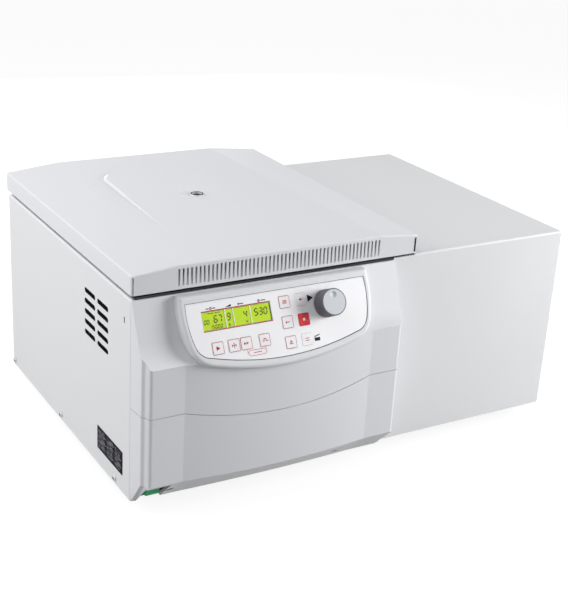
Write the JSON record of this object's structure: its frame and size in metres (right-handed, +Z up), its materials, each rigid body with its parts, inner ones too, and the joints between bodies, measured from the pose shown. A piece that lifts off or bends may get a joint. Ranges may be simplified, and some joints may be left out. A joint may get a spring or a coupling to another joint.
{
  "type": "refrigerated microplate centrifuge",
  "caption": "Bench-top refrigerated centrifuge with hinged lid, swing-out microplate rotor, slanted keypad console with knob, and side refrigeration box.",
  "frame": {"origin": "centre of the bounding box on the bench surface, under the rubber feet", "axes": "+X to the right seen from the front (along the longest side), -Y to the front, +Z up"},
  "size_m": [0.719, 0.5458, 0.3538],
  "materials": {
    "painted_sheet": "fine-textured light grey powder coat",
    "front_moulding": "light grey moulded plastic",
    "lid_moulding": "light grey moulded plastic",
    "foil": "white printed polyester foil",
    "key_white": "white domed key",
    "key_red": "red domed key",
    "window": "clear window",
    "display": "yellow-green liquid crystal panel",
    "knob_grey": "dark grey moulded plastic",
    "knob_light": "light grey moulded plastic",
    "stainless": "brushed stainless steel",
    "zinc_steel": "zinc-plated steel",
    "rotor_alloy": "anodised aluminium",
    "rubber_black": "black rubber",
    "rubber_grey": "grey silicone rubber",
    "foam": "black closed-cell foam",
    "deck_plastic": "dark grey moulded plastic",
    "board": "glass-epoxy board with green mask",
    "black_enamel": "black stove enamel",
    "motor_cast": "dark grey painted casting",
    "black_plastic": "black moulded plastic",
    "copper": "drawn copper tube",
    "green_plastic": "green moulded plastic",
    "clear_glass": "clear glass"
  },
  "bodies": {
    "housing": {"base_plate": "black_enamel", "rubber_feet": "rubber_black", "main_casing": "painted_sheet", "top_deck": "deck_plastic", "casing_screws": "zinc_steel", "front_panel_upper": "front_moulding", "front_panel_lower": "front_moulding", "keypad_overlay": "foil", "display_window": "window", "display_module": "display", "control_board": "board", "encoder": "zinc_steel", "chamber_bowl": "stainless", "bowl_floor": "stainless", "chamber_gasket": "rubber_grey", "cooling_coil": "copper", "bowl_insulation": "foam", "motor_body": "motor_cast", "vibration_mounts": "rubber_black", "hinge_brackets": "zinc_steel", "hinge_pins": "stainless", "lock_frame": "zinc_steel", "mains_inlet": "black_plastic", "switch_frame": "black_plastic", "drive_module": "rotor_alloy", "refrigeration_cover": "painted_sheet", "compressor": "black_enamel", "condenser": "zinc_steel", "fan_frame": "black_plastic", "copper_pipes": "copper"},
    "lid": {"lid_shell": "lid_moulding", "lid_front_grille": "lid_moulding", "lid_inner_plate": "stainless", "port_ring": "lid_moulding", "port_glass": "clear_glass", "lid_strikers": "zinc_steel", "hinge_arms": "zinc_steel"},
    "rotor": {"motor_shaft": "stainless", "rotor_yoke": "rotor_alloy", "trunnion_pins": "stainless", "rotor_nut": "stainless"},
    "bucket_left": {"plate_bucket_left": "rotor_alloy"},
    "bucket_right": {"plate_bucket_right": "rotor_alloy"},
    "knob": {"encoder_shaft": "zinc_steel", "control_knob": "knob_grey", "knob_cap": "knob_light"},
    "lock_bar": {"lock_bar": "zinc_steel"},
    "rocker": {"power_rocker": "black_plastic"},
    "fan": {"fan_blades": "black_plastic"},
    "drip_tray": {"drip_tray": "green_plastic"},
    "key_clear": {"key_clear": "key_white"},
    "key_exit": {"key_exit": "key_white"},
    "key_select": {"key_select": "key_white"},
    "key_stop": {"key_stop": "key_red"},
    "key_save": {"key_save": "key_white"},
    "key_open": {"key_open": "key_white"},
    "key_start": {"key_start": "key_white"},
    "key_fast_cool": {"key_fast_cool": "key_white"},
    "key_prerun": {"key_prerun": "key_white"},
    "key_pulse": {"key_pulse": "key_white"}
  },
  "joints": [
    {"name": "lid_hinge", "type": "hinge", "parent": "housing", "child": "lid", "pos_m": [-0.1387, 0.26645, 0.322], "axis": [-1, 0, 0], "range_deg": [0, 80]},
    {"name": "rotor_spin", "type": "hinge", "parent": "housing", "child": "rotor", "pos_m": [-0.1387, 0.04845, 0.23], "axis": [0, 0, 1], "continuous": true},
    {"name": "bucket_left_swing", "type": "hinge", "parent": "rotor", "child": "bucket_left", "pos_m": [-0.22845, 0.04845, 0.23], "axis": [0, 1, 0], "range_deg": [0, 90]},
    {"name": "bucket_right_swing", "type": "hinge", "parent": "rotor", "child": "bucket_right", "pos_m": [-0.04895, 0.04845, 0.23], "axis": [0, -1, 0], "range_deg": [0, 90]},
    {"name": "knob_turn", "type": "hinge", "parent": "housing", "child": "knob", "pos_m": [-0.0881, -0.24324, 0.27652], "axis": [0, -0.8962, 0.4436], "continuous": true},
    {"name": "lock_bar_slide", "type": "slide", "parent": "housing", "child": "lock_bar", "axis": [1, 0, 0], "range_m": [0, 0.012]},
    {"name": "power_rocker_tilt", "type": "hinge", "parent": "housing", "child": "rocker", "pos_m": [-0.2275, 0.25915, 0.092], "axis": [-1, 0, 0], "range_deg": [0, 12]},
    {"name": "fan_spin", "type": "hinge", "parent": "housing", "child": "fan", "pos_m": [0.2975, -0.06055, 0.153], "axis": [1, 0, 0], "continuous": true},
    {"name": "drip_tray_slide", "type": "slide", "parent": "housing", "child": "drip_tray", "axis": [0, -1, 0], "range_m": [0, 0.12]},
    {"name": "key_clear_press", "type": "slide", "parent": "housing", "child": "key_clear", "axis": [0, 0.8962, -0.4436], "range_m": [0, 0.0006], "stiffness_N_per_m": 2500, "springref_m": -0.0002},
    {"name": "key_exit_press", "type": "slide", "parent": "housing", "child": "key_exit", "axis": [0, 0.8962, -0.4436], "range_m": [0, 0.0006], "stiffness_N_per_m": 2500, "springref_m": -0.0002},
    {"name": "key_select_press", "type": "slide", "parent": "housing", "child": "key_select", "axis": [0, 0.8962, -0.4436], "range_m": [0, 0.0006], "stiffness_N_per_m": 2500, "springref_m": -0.0002},
    {"name": "key_stop_press", "type": "slide", "parent": "housing", "child": "key_stop", "axis": [0, 0.8962, -0.4436], "range_m": [0, 0.0006], "stiffness_N_per_m": 2500, "springref_m": -0.0002},
    {"name": "key_save_press", "type": "slide", "parent": "housing", "child": "key_save", "axis": [0, 0.8962, -0.4436], "range_m": [0, 0.0006], "stiffness_N_per_m": 2500, "springref_m": -0.0002},
    {"name": "key_open_press", "type": "slide", "parent": "housing", "child": "key_open", "axis": [0, 0.8962, -0.4436], "range_m": [0, 0.0006], "stiffness_N_per_m": 2500, "springref_m": -0.0002},
    {"name": "key_start_press", "type": "slide", "parent": "housing", "child": "key_start", "axis": [0, 0.8962, -0.4436], "range_m": [0, 0.0006], "stiffness_N_per_m": 2500, "springref_m": -0.0002},
    {"name": "key_fast_cool_press", "type": "slide", "parent": "housing", "child": "key_fast_cool", "axis": [0, 0.8962, -0.4436], "range_m": [0, 0.0006], "stiffness_N_per_m": 2500, "springref_m": -0.0002},
    {"name": "key_prerun_press", "type": "slide", "parent": "housing", "child": "key_prerun", "axis": [0, 0.8962, -0.4436], "range_m": [0, 0.0006], "stiffness_N_per_m": 2500, "springref_m": -0.0002},
    {"name": "key_pulse_press", "type": "slide", "parent": "housing", "child": "key_pulse", "axis": [0, 0.8962, -0.4436], "range_m": [0, 0.0006], "stiffness_N_per_m": 2500, "springref_m": -0.0002}
  ]
}
